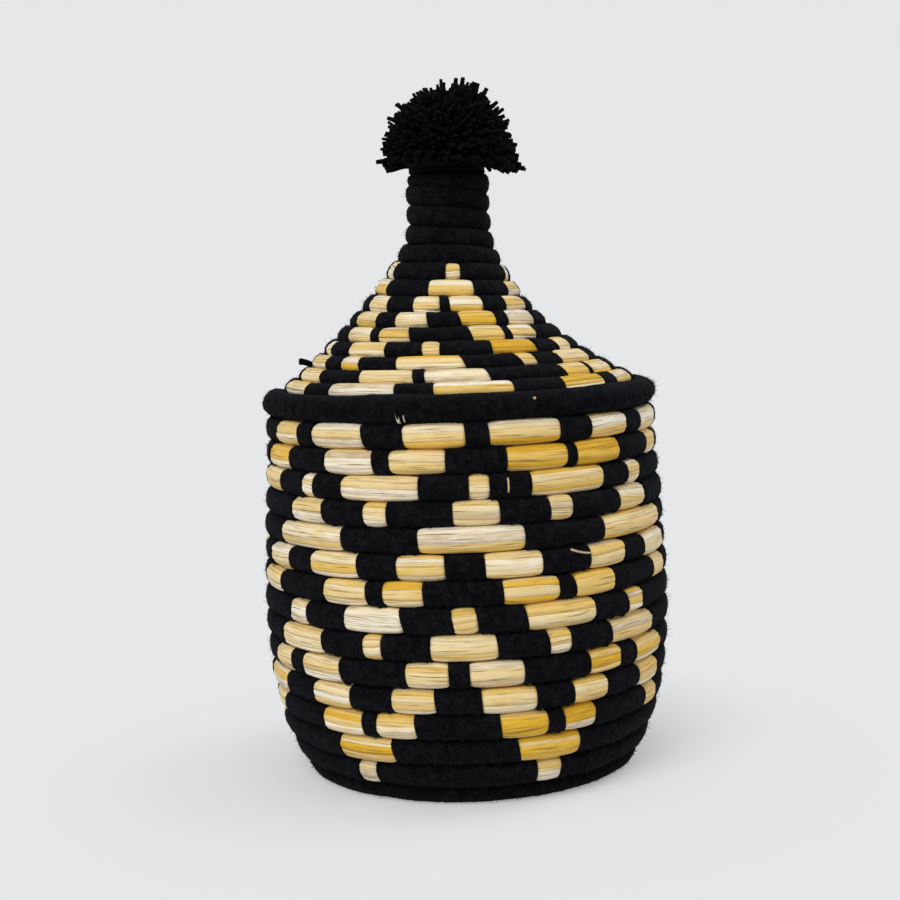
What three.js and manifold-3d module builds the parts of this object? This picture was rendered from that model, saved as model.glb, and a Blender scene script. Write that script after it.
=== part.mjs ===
// A round coiled basket with a conical lid, in millimetres, +Z up, the front towards -Y.
// Each coil is one long cord, a bundle of straw wound in wool yarn, laid course upon course.
// The origin is the middle of the underside, on the surface that the basket stands on.
import * as THREE from 'three';
import { mergeVertices } from 'three/addons/utils/BufferGeometryUtils.js';
import Module from 'manifold-3d';

const wasm = await Module();
wasm.setup();

// Basket: the cord, and the profile that the middles of its courses follow
const footCordHeight = 12.65; // along the profile, from course to course
const cordHeightDrop = 0.092; // from each course of the wall to the next
const cordDepth = 12.2; // through the wall
const courseGap = 0.5; // clear space between two courses of a coil
const baseSlack = 0.95; // extra space in the flat base, where the courses turn from steady to level
const standCut = cordDepth / 10; // how much of the cord the flat underside takes away
const centreBore = 0.4; // from the axis to the curled start of the cord
const centreTip = 1.5; // thickness of that start
const footRadius = 77.6; // the lowest course of the wall
const footFlareOut = 29.5; // handle of the profile curve at the foot
const footFlareUp = 40;
const mouthRadius = 92;
const mouthTaperOut = 1.2; // handle of the profile curve at the mouth
const mouthTaperDown = 50;
const wallRise = 170.8; // from the lowest course to the highest

// Lid: a thick cord at the rim, a thinner one in the cone and the neck
const rimCord = 12.8; // across the corners of its section
const lidCordHeight = 9.05;
const lidCordDepth = 9.8;
const lidTurnSlack = 0.4; // extra space in the lid, where the courses turn from level to steady
const lidLevelTurns = 7; // over which they do
const rimHandleIn = 47; // handle of the profile curve at the rim
const rimHandleUp = 27;
const coneRise = 87.6; // from the rim's course to the foot of the neck
const neckHandle = 20.3; // handle of the profile curve at the neck
const neckRadius = 16.1;
const neckRise = 18.5; // straight part of the neck
const neckLean = 2.4; // how far the neck stands to the left of the rim's middle
const coneLean = 3.6; // how much further the cone does, halfway up
const leanStart = 0.33; // share of the cone's rise in which the lean begins
const seatGap = 0.3; // between pieces that lie on each other
const collarPlay = 2.5; // between the lid's collar and the mouth, all round
const tailThickness = 3; // where a tapered end is cut off

// Tuft: a bundle of cut yarn, plugged into the neck and tied, its ends standing out all round
const stemDepth = 14; // of the bundle inside the neck
const tieYarn = 2.6;
const tieTurns = 2;
const headRadius = 30; // of the packed yarn under the loose ends
const headDepthBelow = 5; // from its widest place down to its underside
const headDepthAbove = 30; // from its widest place up to its top
const strandCount = 200;
const strandRootRadius = 2.1;
const strandTipRadius = 1.8;
const strandSides = 3;
const strandReach = 4; // how far an end stands out of the packed yarn
const strandUneven = 1.2; // how much further the longest ends stand out
const strandDroop = 2; // how far a level end hangs down
const strandHidden = 3; // of each strand inside the packed yarn
const lowestRiseDegrees = -16; // of the strands, where 90 points straight up

const stepsPerLoop = 18;
const profileStep = 0.25; // spacing of the points that stand for a profile
const tieSides = 24; // facets round the tie
const headSides = 12; // facets round the packed yarn, which the loose ends cover
const curvePoints = 3; // on each arc of the packed yarn's profile
const mergeDistance = 1e-4;
const backTurn = 0.25; // where a turn is at the middle of the back
const frontTurn = 0.5; // from here on a turn is in front, up to the next whole turn
const footPitch = footCordHeight + courseGap;
const lidPitch = lidCordHeight + courseGap + lidTurnSlack;

// Facets that lie half outside and half inside of the true circle
const facetSpread = 2 / (1 + Math.cos(Math.PI / stepsPerLoop));

const wool = { color: 0x15151b, roughness: 0.95, metalness: 0 };
const wrappedWool = { color: 0x1b1b22, roughness: 0.9, metalness: 0 };
const cutWool = { color: 0x101016, roughness: 1, metalness: 0 };

// Section of a cord, with each corner as shares of its height and of its depth
const cordSection = [
  [0.5, 0],
  [0.25, 0.5],
  [-0.25, 0.5],
  [-0.5, 0],
  [-0.25, -0.5],
  [0.25, -0.5],
];

// Profiles are rows of close, even points: x is the distance from the axis, y the height

function evenPoints(path) {
  return path.getSpacedPoints(Math.round(path.getLength() / profileStep));
}

function pointOn(points, position) {
  const held = Math.min(Math.max(position, 0), points.length - 1);
  const before = Math.floor(held);
  const after = Math.min(before + 1, points.length - 1);
  return points[before].clone().lerp(points[after], held - before);
}

// The next place along a profile that lies a given straight distance from a place on it
function stepAlong(points, position, distance) {
  const start = pointOn(points, position);
  let after = Math.floor(position) + 1;
  while (after < points.length && points[after].distanceTo(start) < distance) {
    after += 1;
  }
  if (after >= points.length) {
    return Infinity;
  }
  const near = points[after - 1].distanceTo(start);
  const far = points[after].distanceTo(start);
  return after - 1 + (distance - near) / (far - near);
}

// The courses of a coil on a profile, a pitch apart at every angle, also round a bend.
// pitchAt gives the pitch from a course to the next one.
function coursesOn(points, pitchAt) {
  const firstStep = stepAlong(points, 0, pitchAt(0));
  function positionOf(course) {
    const whole = Math.floor(course);
    const share = course - whole;
    let position = share * firstStep;
    for (let i = 0; i < whole; i += 1) {
      position = stepAlong(points, position, pitchAt(share + i));
    }
    return position;
  }
  function at(course) {
    const position = positionOf(course);
    const reach = pitchAt(course) / profileStep;
    const along = pointOn(points, position + reach).sub(pointOn(points, position - reach));
    return { middle: pointOn(points, position), along: along.normalize() };
  }
  const reaches = (course) => Number.isFinite(positionOf(course));
  let count = 1;
  while (reaches(count + 1)) {
    count += 1;
  }
  return { at, count, reaches };
}

// Turns are counted from the left side, over the back, clockwise as seen from above.
// A level coil climbs one course over the back and stays level over the front.
function climbing(turn) {
  const whole = Math.floor(turn);
  return whole + THREE.MathUtils.smoothstep((turn - whole) / frontTurn, 0, 1);
}

// A steady coil climbs evenly all round, and is as high as a level one at the middle of the back
function steady(turn) {
  return turn + backTurn;
}

function mixed(turn, levelShare) {
  return levelShare * climbing(turn) + (1 - levelShare) * steady(turn);
}

// One ring of a cord: six corners in the upright plane through the axis at that turn
function ring(turn, { middle, along }, height, depth, shift = 0) {
  const angle = Math.PI - 2 * Math.PI * turn;
  const across = new THREE.Vector2(along.y, -along.x);
  return cordSection.map(([up, out]) => {
    const place = middle.clone();
    place.addScaledVector(along, shift + up * height);
    place.addScaledVector(across, out * depth);
    const radius = place.x * facetSpread;
    return new THREE.Vector3(radius * Math.cos(angle), radius * Math.sin(angle), place.y);
  });
}

// The ring where a cord is cut square, on the straight stretch between two rings
function cutBetween(ringA, ringB, share) {
  return ringA.map((corner, i) => corner.clone().lerp(ringB[i], share));
}

function shareOfGap(ringA, ringB) {
  return seatGap / 2 / ringA[0].distanceTo(ringB[0]);
}

// A closed skin over a row of rings, with a flat face at each end
function cordGeometry(rings) {
  const positions = rings.flat().flatMap((corner) => [corner.x, corner.y, corner.z]);
  const sides = rings[0].length;
  const index = [];
  for (let i = 0; i + 1 < rings.length; i += 1) {
    for (let k = 0; k < sides; k += 1) {
      const a = i * sides + k;
      const b = i * sides + ((k + 1) % sides);
      index.push(a, a + sides, b, b, a + sides, b + sides);
    }
  }
  const last = (rings.length - 1) * sides;
  for (let k = 1; k + 1 < sides; k += 1) {
    index.push(0, k, k + 1, last, last + k + 1, last + k);
  }
  const geometry = new THREE.BufferGeometry();
  geometry.setAttribute('position', new THREE.Float32BufferAttribute(positions, 3));
  geometry.setIndex(index);
  return geometry;
}

// Points along the outline of a ring, for measuring
function outline(corners, pointsPerSide = 12) {
  return corners.flatMap((corner, i) => {
    const next = corners[(i + 1) % corners.length];
    const shares = Array.from({ length: pointsPerSide }, (unused, k) => k / pointsPerSide);
    return shares.map((share) => corner.clone().lerp(next, share));
  });
}

function leastDistance(cornersA, cornersB) {
  const outlineB = outline(cornersB);
  let least = Infinity;
  for (const point of outline(cornersA)) {
    for (const other of outlineB) {
      least = Math.min(least, point.distanceTo(other));
    }
  }
  return least;
}

// The least gap of a coil to itself, between rings that lie one loop apart
function reportSelfGap(name, rings) {
  let least = Infinity;
  for (let i = 0; i + stepsPerLoop < rings.length; i += 1) {
    least = Math.min(least, leastDistance(rings[i], rings[i + stepsPerLoop]));
  }
  console.log(`${name}: least gap to itself ${least.toFixed(2)} mm`);
}

function ringsFor(firstStep, lastStep, makeRing) {
  const rings = [];
  for (let step = firstStep; step <= lastStep; step += 1) {
    rings.push(makeRing(step / stepsPerLoop));
  }
  return rings;
}

function toSolid(geometry) {
  const bare = geometry.clone();
  bare.deleteAttribute('normal');
  bare.deleteAttribute('uv');
  const merged = mergeVertices(bare, mergeDistance);
  return new wasm.Manifold(
    new wasm.Mesh({
      numProp: 3,
      vertProperties: new Float32Array(merged.attributes.position.array),
      triVerts: new Uint32Array(merged.index.array),
    }),
  );
}

function fromSolid(solid) {
  const mesh = solid.getMesh();
  const geometry = new THREE.BufferGeometry();
  geometry.setAttribute('position', new THREE.BufferAttribute(mesh.vertProperties, 3));
  geometry.setIndex(new THREE.BufferAttribute(mesh.triVerts, 1));
  return geometry;
}

// Takes away all that lies below the surface that the basket stands on
function cutFlatBelow(geometry) {
  const width = 4 * mouthRadius;
  const slab = new THREE.BoxGeometry(width, width, cordDepth);
  slab.translate(0, 0, -cordDepth / 2);
  return fromSolid(toSolid(geometry).subtract(toSolid(slab)));
}

function piece(name, geometry, finish) {
  geometry.computeVertexNormals();
  const mesh = new THREE.Mesh(geometry, new THREE.MeshStandardMaterial(finish));
  mesh.name = name;
  return mesh;
}

// Basket profile: a flat start under the foot, then one curve up to the mouth
const baseHeight = cordDepth / 2 - standCut;
const joinRadius = footRadius - footPitch;
const wallPath = new THREE.Path();
wallPath.moveTo(joinRadius, baseHeight);
wallPath.lineTo(footRadius, baseHeight);
wallPath.bezierCurveTo(
  footRadius + footFlareOut,
  baseHeight + footFlareUp,
  mouthRadius + mouthTaperOut,
  baseHeight + wallRise - mouthTaperDown,
  mouthRadius,
  baseHeight + wallRise,
);
const wallLine = evenPoints(wallPath);
wallLine.push(wallLine.at(-1).clone().add(new THREE.Vector2(0, profileStep)));
const wallCourses = coursesOn(wallLine, wallPitchAt);
const topCourse = wallCourses.count;
const topCordHeight = wallCordHeightAt(topCourse);
const mouth = wallCourses.at(topCourse).middle;

// The cord of the wall thins from the foot to the mouth
function wallCordHeightAt(course) {
  return footCordHeight - cordHeightDrop * course;
}

function wallPitchAt(course) {
  return (wallCordHeightAt(course) + wallCordHeightAt(course + 1)) / 2 + courseGap;
}

// The tapered end of a coil lies over the climbing course below it, so that its top is level
function endThickness(courses, courseAt, lastTurn, turn, height) {
  const seat = courses.at(courseAt(lastTurn)).middle;
  const below = courses.at(courseAt(turn - 1)).middle;
  return Math.min(height, seat.distanceTo(below) - courseGap);
}

// Where a cord tapers, its depth falls half as much as its height
function taperedDepth(thickness, height, depth) {
  return (depth * (1 + thickness / height)) / 2;
}

function endRing(courses, courseAt, lastTurn, turn, height, depth) {
  const thickness = endThickness(courses, courseAt, lastTurn, turn, height);
  const thinnerDepth = taperedDepth(thickness, height, depth);
  return ring(turn, courses.at(courseAt(lastTurn)), thickness, thinnerDepth, (height - thickness) / 2);
}

function lastEndTurn(courses, courseAt, lastTurn, height) {
  let turn = lastTurn;
  while (endThickness(courses, courseAt, lastTurn, turn + 1 / stepsPerLoop, height) > tailThickness) {
    turn += 1 / stepsPerLoop;
  }
  return turn;
}

function wallRing(turn) {
  if (turn <= topCourse) {
    const course = climbing(turn);
    return ring(turn, wallCourses.at(course), wallCordHeightAt(course), cordDepth);
  }
  return endRing(wallCourses, climbing, topCourse, turn, topCordHeight, cordDepth);
}

// Base: a flat spiral, steady at its centre and level where the wall stands on it
const basePitch = footPitch + baseSlack;
const baseTurns = (joinRadius - basePitch / 2) / basePitch + backTurn;

// The cord starts thin, curled so tightly that its inner side stays beside the axis
function baseSides(turn) {
  const levelShare = THREE.MathUtils.clamp(1 + turn / baseTurns, 0, 1);
  const radius = joinRadius + Math.min(0, mixed(turn, levelShare)) * basePitch;
  const outer = radius + footCordHeight / 2;
  return { inner: Math.max(outer - footCordHeight, centreBore), outer };
}

function baseRing(turn) {
  const { inner, outer } = baseSides(turn);
  const thickness = outer - inner;
  const middle = new THREE.Vector2((inner + outer) / 2, baseHeight);
  const depth = taperedDepth(thickness, footCordHeight, cordDepth);
  return ring(turn, { middle, along: new THREE.Vector2(1, 0) }, thickness, depth);
}

function firstBaseStep() {
  let step = 0;
  while (baseSides((step - 1) / stepsPerLoop).outer > centreBore + centreTip) {
    step -= 1;
  }
  return step;
}

function makeBaseCoil() {
  const rings = ringsFor(firstBaseStep(), 0, baseRing);
  const next = wallRing(1 / stepsPerLoop);
  const half = 0.5 - shareOfGap(rings.at(-1), next);
  rings.push(cutBetween(rings.at(-1), next, half));
  reportSelfGap('base_coil', rings);
  return piece('base_coil', cutFlatBelow(cordGeometry(rings)), wrappedWool);
}

function makeWallCoil() {
  const lastTurn = lastEndTurn(wallCourses, climbing, topCourse, topCordHeight);
  const rings = ringsFor(1, Math.round(lastTurn * stepsPerLoop), wallRing);
  const before = baseRing(0);
  const half = 0.5 + shareOfGap(before, rings[0]);
  rings.unshift(cutBetween(before, rings[0], half));
  reportSelfGap('wall_coil', rings);
  return piece('wall_coil', cutFlatBelow(cordGeometry(rings)), wrappedWool);
}

// Lid profile: one flared curve from the rim to the neck, then straight up
const rimHeight = mouth.y + topCordHeight / 2 + seatGap + rimCord / 2;
const neckFoot = rimHeight + coneRise;
const lidPath = new THREE.Path();
lidPath.moveTo(mouth.x, rimHeight);
lidPath.bezierCurveTo(
  mouth.x - rimHandleIn,
  rimHeight + rimHandleUp,
  neckRadius,
  neckFoot - neckHandle,
  neckRadius,
  neckFoot,
);
lidPath.lineTo(neckRadius, neckFoot + neckRise);
const rimPitch = rimCord / 2 + lidCordHeight / 2 + courseGap;
const lidCourses = coursesOn(evenPoints(lidPath), lidPitchAt);
const rimSeat = lidCourses.at(0);

// The pitch is wider next to the thick rim
function lidPitchAt(course) {
  return THREE.MathUtils.lerp(rimPitch, lidPitch, Math.min(course, 1));
}

function lidTurn(turn) {
  return mixed(turn, Math.max(0, 1 - turn / lidLevelTurns));
}

function lastLidTurn() {
  let step = 1;
  while (lidCourses.reaches(lidTurn((step + 1) / stepsPerLoop))) {
    step += 1;
  }
  return step / stepsPerLoop;
}

const neckTurn = lastLidTurn();

function lidRing(turn) {
  if (turn <= neckTurn) {
    return ring(turn, lidCourses.at(lidTurn(turn)), lidCordHeight, lidCordDepth);
  }
  return endRing(lidCourses, lidTurn, neckTurn, turn, lidCordHeight, lidCordDepth);
}

const rimDepth = rimCord * Math.cos(Math.PI / cordSection.length);

// Over the back the rim grows from a thin end, under the course that climbs into the cone
function rimThickness(turn) {
  if (turn >= frontTurn) {
    return rimCord;
  }
  const above = lidCourses.at(lidTurn(turn)).middle.distanceTo(rimSeat.middle);
  return Math.min(rimCord, above - lidCordHeight / 2 - courseGap + rimCord / 2);
}

function rimRing(turn) {
  const thickness = rimThickness(turn);
  const depth = taperedDepth(thickness, rimCord, rimDepth);
  return ring(turn, rimSeat, thickness, depth, (thickness - rimCord) / 2);
}

// The lid is made by hand, and its cone and neck stand a little to the left of its rim
function leanAt(height) {
  const share = THREE.MathUtils.clamp((height - rimHeight) / coneRise, 0, 1);
  const start = THREE.MathUtils.smoothstep(share, 0, leanStart);
  return neckLean * start + coneLean * Math.sin(Math.PI * share) ** 2;
}

function lean(rings) {
  for (const corner of rings.flat()) {
    corner.x -= leanAt(corner.z);
  }
}

function makeRimCoil() {
  let first = 1;
  while (rimThickness(first / stepsPerLoop) < tailThickness) {
    first += 1;
  }
  const rings = ringsFor(first, stepsPerLoop, rimRing);
  const next = ring(1 + 1 / stepsPerLoop, rimSeat, rimCord, rimDepth);
  rings.push(cutBetween(rings.at(-1), next, 0.5 - shareOfGap(rings.at(-1), next)));
  lean(rings);
  return piece('lid_rim_coil', cordGeometry(rings), wool);
}

function makeLidCoil() {
  const lastTurn = lastEndTurn(lidCourses, lidTurn, neckTurn, lidCordHeight);
  const rings = ringsFor(1, Math.round(lastTurn * stepsPerLoop), lidRing);
  const before = lidRing(0);
  rings.unshift(cutBetween(before, rings[0], 0.5 + shareOfGap(before, rings[0])));
  lean(rings);
  reportSelfGap('lid_coil', rings);
  return piece('lid_coil', cordGeometry(rings), wrappedWool);
}

// Collar: two courses under the cone that drop into the mouth and keep the lid in place
const collarRadius = mouth.x - cordDepth / 2 - collarPlay - lidCordDepth / 2;

function makeCollarCoil() {
  const carrier = lidCourses.at(1).middle;
  const sideways = carrier.x - collarRadius;
  const reach = lidCordHeight / 2 + lidCordDepth / 2 + seatGap;
  const top = carrier.y - Math.sqrt(reach ** 2 - sideways ** 2);
  const upright = new THREE.Vector2(0, 1);
  const collarRing = (turn) => {
    const height = top + (climbing(turn) - 2) * (lidCordHeight + courseGap);
    const middle = new THREE.Vector2(collarRadius, height);
    return ring(turn, { middle, along: upright }, lidCordHeight, lidCordDepth);
  };
  const rings = ringsFor(frontTurn * stepsPerLoop, 2 * stepsPerLoop, collarRing);
  lean(rings);
  reportSelfGap('lid_collar_coil', rings);
  return piece('lid_collar_coil', cordGeometry(rings), wrappedWool);
}

// Tuft: its stem fills the top of the neck's bore, its tie lies on the neck's last course
const crownTop = lidCourses.at(lidTurn(neckTurn)).middle.y + lidCordHeight / 2;
const boreRadius = (neckRadius - lidCordDepth / 2) * facetSpread * Math.cos(Math.PI / stepsPerLoop);
const stemRadius = boreRadius - seatGap;
const tieHeight = tieTurns * tieYarn;
const tieFoot = crownTop + seatGap;
const underside = tieFoot + tieHeight + seatGap;
const headMiddle = underside + headDepthBelow;

// Turns of yarn side by side, from the stem out over the middle of the neck's cord
function makeTie() {
  const inner = stemRadius + seatGap;
  const outer = neckRadius;
  const profile = [new THREE.Vector2(inner, 0), new THREE.Vector2(outer, 0)];
  for (let i = 0; i < tieTurns; i += 1) {
    const foot = i * tieYarn;
    profile.push(new THREE.Vector2(outer + tieYarn / 3, foot + tieYarn / 3));
    profile.push(new THREE.Vector2(outer + tieYarn / 3, foot + (2 * tieYarn) / 3));
    profile.push(new THREE.Vector2(outer, foot + tieYarn));
  }
  profile.push(new THREE.Vector2(inner, tieHeight), profile[0].clone());
  const geometry = new THREE.LatheGeometry(profile, tieSides);
  geometry.rotateX(Math.PI / 2);
  geometry.translate(-neckLean, 0, tieFoot);
  return piece('tuft_tie', fromSolid(toSolid(geometry)), wool);
}

// The stem and the packed yarn, as one turned shape
function makeHead() {
  const stemFoot = crownTop - stemDepth;
  const stemMeets = -Math.acos(stemRadius / headRadius);
  const profile = new THREE.Path();
  profile.moveTo(0, stemFoot);
  profile.lineTo(stemRadius, stemFoot);
  profile.absellipse(0, headMiddle, headRadius, headDepthBelow, stemMeets, 0, false);
  profile.absellipse(0, headMiddle, headRadius, headDepthAbove, 0, Math.PI / 2, false);
  const points = profile.getPoints(curvePoints);
  points.at(-1).x = 0;
  const geometry = new THREE.LatheGeometry(points, headSides);
  geometry.rotateX(Math.PI / 2);
  return toSolid(geometry);
}

// A loose end starts inside the packed yarn, points away from its middle and is cut blunt
function makeStrand(azimuth, upShare, reach) {
  const levelShare = Math.sqrt(1 - upShare ** 2);
  const out = new THREE.Vector3(Math.cos(azimuth), Math.sin(azimuth), 0).multiplyScalar(levelShare);
  const heading = out.clone().setZ(upShare);
  const depth = upShare > 0 ? headDepthAbove : headDepthBelow;
  const skin = out.clone().multiplyScalar(headRadius).setZ(headMiddle + depth * upShare);
  const root = skin.clone().addScaledVector(heading, -strandHidden);
  const tip = skin.clone().addScaledVector(heading, reach);
  tip.z -= strandDroop * levelShare;
  const along = tip.clone().sub(root);
  const geometry = new THREE.CylinderGeometry(strandTipRadius, strandRootRadius, along.length(), strandSides);
  const upright = new THREE.Vector3(0, 1, 0);
  geometry.applyQuaternion(new THREE.Quaternion().setFromUnitVectors(upright, along.normalize()));
  const middle = root.lerp(tip, 0.5);
  geometry.translate(middle.x, middle.y, middle.z);
  return toSolid(geometry);
}

// The ends are spread evenly over the packed yarn, each a golden angle on from the last
function makeTuft() {
  const goldenAngle = Math.PI * (3 - Math.sqrt(5));
  const lowest = Math.sin(THREE.MathUtils.degToRad(lowestRiseDegrees));
  const lengths = 5;
  let tuft = makeHead();
  for (let i = 0; i < strandCount; i += 1) {
    const upShare = THREE.MathUtils.lerp(lowest, 1, (i + 0.5) / strandCount);
    const reach = strandReach + (strandUneven * (i % lengths)) / (lengths - 1);
    tuft = tuft.add(makeStrand(i * goldenAngle, upShare, reach));
  }
  return piece('tuft', fromSolid(tuft.translate(-neckLean, 0, 0)), cutWool);
}

const basket = new THREE.Group();
basket.name = 'basket';
basket.add(makeBaseCoil(), makeWallCoil());
const lid = new THREE.Group();
lid.name = 'lid';
lid.add(makeRimCoil(), makeLidCoil(), makeCollarCoil(), makeTie(), makeTuft());
const whole = new THREE.Group();
whole.add(basket, lid);

export default whole;
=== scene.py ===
# A lidded basket of coiled straw, wound in black wool yarn, on a pale table.
# Lengths are in millimetres and become metres where a mesh is made.
import math

import bpy
import numpy as np
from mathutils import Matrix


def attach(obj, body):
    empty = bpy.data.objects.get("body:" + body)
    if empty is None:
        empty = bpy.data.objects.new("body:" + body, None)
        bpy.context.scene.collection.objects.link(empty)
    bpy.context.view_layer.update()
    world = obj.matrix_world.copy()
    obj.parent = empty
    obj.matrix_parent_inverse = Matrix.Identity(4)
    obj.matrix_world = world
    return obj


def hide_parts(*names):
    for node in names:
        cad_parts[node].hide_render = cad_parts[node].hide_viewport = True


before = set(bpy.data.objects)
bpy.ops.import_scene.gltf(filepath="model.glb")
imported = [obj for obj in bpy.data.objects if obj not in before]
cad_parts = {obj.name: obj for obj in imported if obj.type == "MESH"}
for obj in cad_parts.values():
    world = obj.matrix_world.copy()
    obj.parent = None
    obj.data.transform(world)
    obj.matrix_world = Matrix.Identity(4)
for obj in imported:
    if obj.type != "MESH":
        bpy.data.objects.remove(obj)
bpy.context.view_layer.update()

# Camera: a little above the rim of the lid, in front of the basket and almost level.
# It is rolled by two degrees, because the photograph was taken with a slight tilt.
METRES = 0.001
camera_distance = 836.1
camera_height = 240.5
camera_pitch = 5.55
camera_roll = 2.1
focal_pixels = 1647
frame_pixels = 900
axis_right_of_middle = 11.7  # pixels
sensor_width = 36
bpy.ops.object.camera_add(location=(0, -camera_distance * METRES, camera_height * METRES))
camera = bpy.context.object
camera.rotation_mode = "ZYX"
camera.rotation_euler = (math.radians(90 - camera_pitch), 0, math.radians(-camera_roll))
camera.data.sensor_width = sensor_width
camera.data.lens = sensor_width * focal_pixels / frame_pixels
camera.data.shift_x = -axis_right_of_middle / frame_pixels
bpy.context.scene.camera = camera

# Table and room: a pale matt table top, and a pale room that lights the basket from all sides.
# The camera sees both in one light grey, so that no edge shows between them, and the table
# keeps a faint part of the basket's shadow, as under soft window light.
pale_room = "#E6E7E9"
room_light = 0.42
table_size = 40  # metres
table_clearance = 0.2  # keeps the table top apart from the flat underside of the basket
shadow_near = 0.085  # metres from the middle, where the shadow is kept best
shadow_far = 0.22
least_glow = 0.42  # share of plain room colour in the table, next to the basket
white_paint = "#E4E4E8"


def linear(hex_colour):
    channels = [int(hex_colour[i : i + 2], 16) / 255 for i in (1, 3, 5)]
    return [c / 12.92 if c <= 0.04045 else ((c + 0.055) / 1.055) ** 2.4 for c in channels] + [1]


def add_node(tree, kind, settings=None, inputs=None):
    """Adds a shader node. An input given as a socket is linked, anything else is set."""
    node = tree.nodes.new("ShaderNode" + kind)
    for name, value in (settings or {}).items():
        setattr(node, name, value)
    for name, value in (inputs or {}).items():
        if isinstance(value, bpy.types.NodeSocket):
            tree.links.new(value, node.inputs[name])
        else:
            node.inputs[name].default_value = value
    return node


room = bpy.data.worlds.new("pale_room")
bpy.context.scene.world = room
room.use_nodes = True
tree = room.node_tree
tree.nodes.clear()
rays = add_node(tree, "LightPath")
directly = add_node(
    tree,
    "Math",
    {"operation": "MAXIMUM"},
    {0: rays.outputs["Is Camera Ray"], 1: rays.outputs["Is Glossy Ray"]},
)
looked_at = add_node(
    tree,
    "Math",
    {"operation": "MAXIMUM"},
    {0: directly.outputs[0], 1: rays.outputs["Is Transmission Ray"]},
)
glow = add_node(tree, "Background", None, {"Color": linear("#FBFAF8"), "Strength": room_light})
shown = add_node(tree, "Background", None, {"Color": linear(pale_room), "Strength": 1})
either = add_node(
    tree,
    "MixShader",
    None,
    {0: looked_at.outputs[0], 1: glow.outputs[0], 2: shown.outputs[0]},
)
add_node(tree, "OutputWorld", None, {"Surface": either.outputs[0]})

bpy.ops.object.select_all(action="DESELECT")
bpy.ops.mesh.primitive_plane_add(size=table_size, location=(0, 0, -table_clearance * METRES))
table = bpy.context.object
table.name = "table_top"
painted = bpy.data.materials.new("matt_white_paint")
painted.use_nodes = True
tree = painted.node_tree
paint = tree.nodes["Principled BSDF"]
paint.inputs["Base Color"].default_value = linear(white_paint)
paint.inputs["Roughness"].default_value = 0.9
paint.inputs["Specular IOR Level"].default_value = 0.1
spot = add_node(tree, "TexCoord")
away = add_node(tree, "VectorMath", {"operation": "LENGTH"}, {0: spot.outputs["Object"]})
fade = add_node(
    tree,
    "MapRange",
    None,
    {
        "Value": away.outputs["Value"],
        "From Min": shadow_near,
        "From Max": shadow_far,
        "To Min": least_glow,
    },
)
rays = add_node(tree, "LightPath")
plain = add_node(
    tree,
    "Math",
    {"operation": "MULTIPLY"},
    {0: fade.outputs[0], 1: rays.outputs["Is Camera Ray"]},
)
lit = add_node(tree, "Emission", None, {"Color": linear(pale_room), "Strength": 1})
blend = add_node(tree, "MixShader", None, {0: plain.outputs[0], 1: paint.outputs[0], 2: lit.outputs[0]})
tree.links.new(blend.outputs[0], tree.nodes["Material Output"].inputs["Surface"])
table.data.materials.append(painted)

# Window light: large and soft, from above, in front and to the left. A second, fainter one
# on the right lays the pale shadow that is seen on the table at the left. Each is turned
# from straight overhead, and its turn and its width in the sky are in degrees.
windows = [
    ("window", (46, 0, -26), 1.9, 40),
    ("far_window", (38, 0, 105), 0.75, 30),
]
for name, turned, strength, width in windows:
    bpy.ops.object.light_add(type="SUN", rotation=[math.radians(angle) for angle in turned])
    light = bpy.context.object
    light.name = name
    light.data.energy = strength
    light.data.angle = math.radians(width)
bpy.context.scene.view_settings.view_transform = "Standard"

# Basket wall: a bundle of straw made into one long cord, laid course upon course from the
# flared foot up to the mouth. It climbs a course over the back, runs level over the front,
# and thins a little from course to course.
foot_cord_height = 12.65  # along the profile, from course to course
cord_height_drop = 0.092  # from each course to the next
cord_depth = 12.2
course_gap = 0.5
stand_cut = cord_depth / 10
foot_radius = 77.6
foot_flare = (29.5, 40)
mouth_radius = 92
mouth_taper = (1.2, 50)
wall_rise = 170.8
cord_squareness = 2.5
foot_press = 0.83  # share of their lower half that the weight leaves to the lowest cords
line_step = 0.25
steps_per_course = 24
tail_thickness = 3  # where a tapered end is cut off
turn_steps = 18  # in which the end of a coil is found


def bezier(a, b, c, d, count=400):
    share = np.linspace(0, 1, count)[:, None]
    left = 1 - share
    a, b, c, d = (np.array(p, float) for p in (a, b, c, d))
    return left**3 * a + 3 * left**2 * share * b + 3 * left * share**2 * c + share**3 * d


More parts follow.
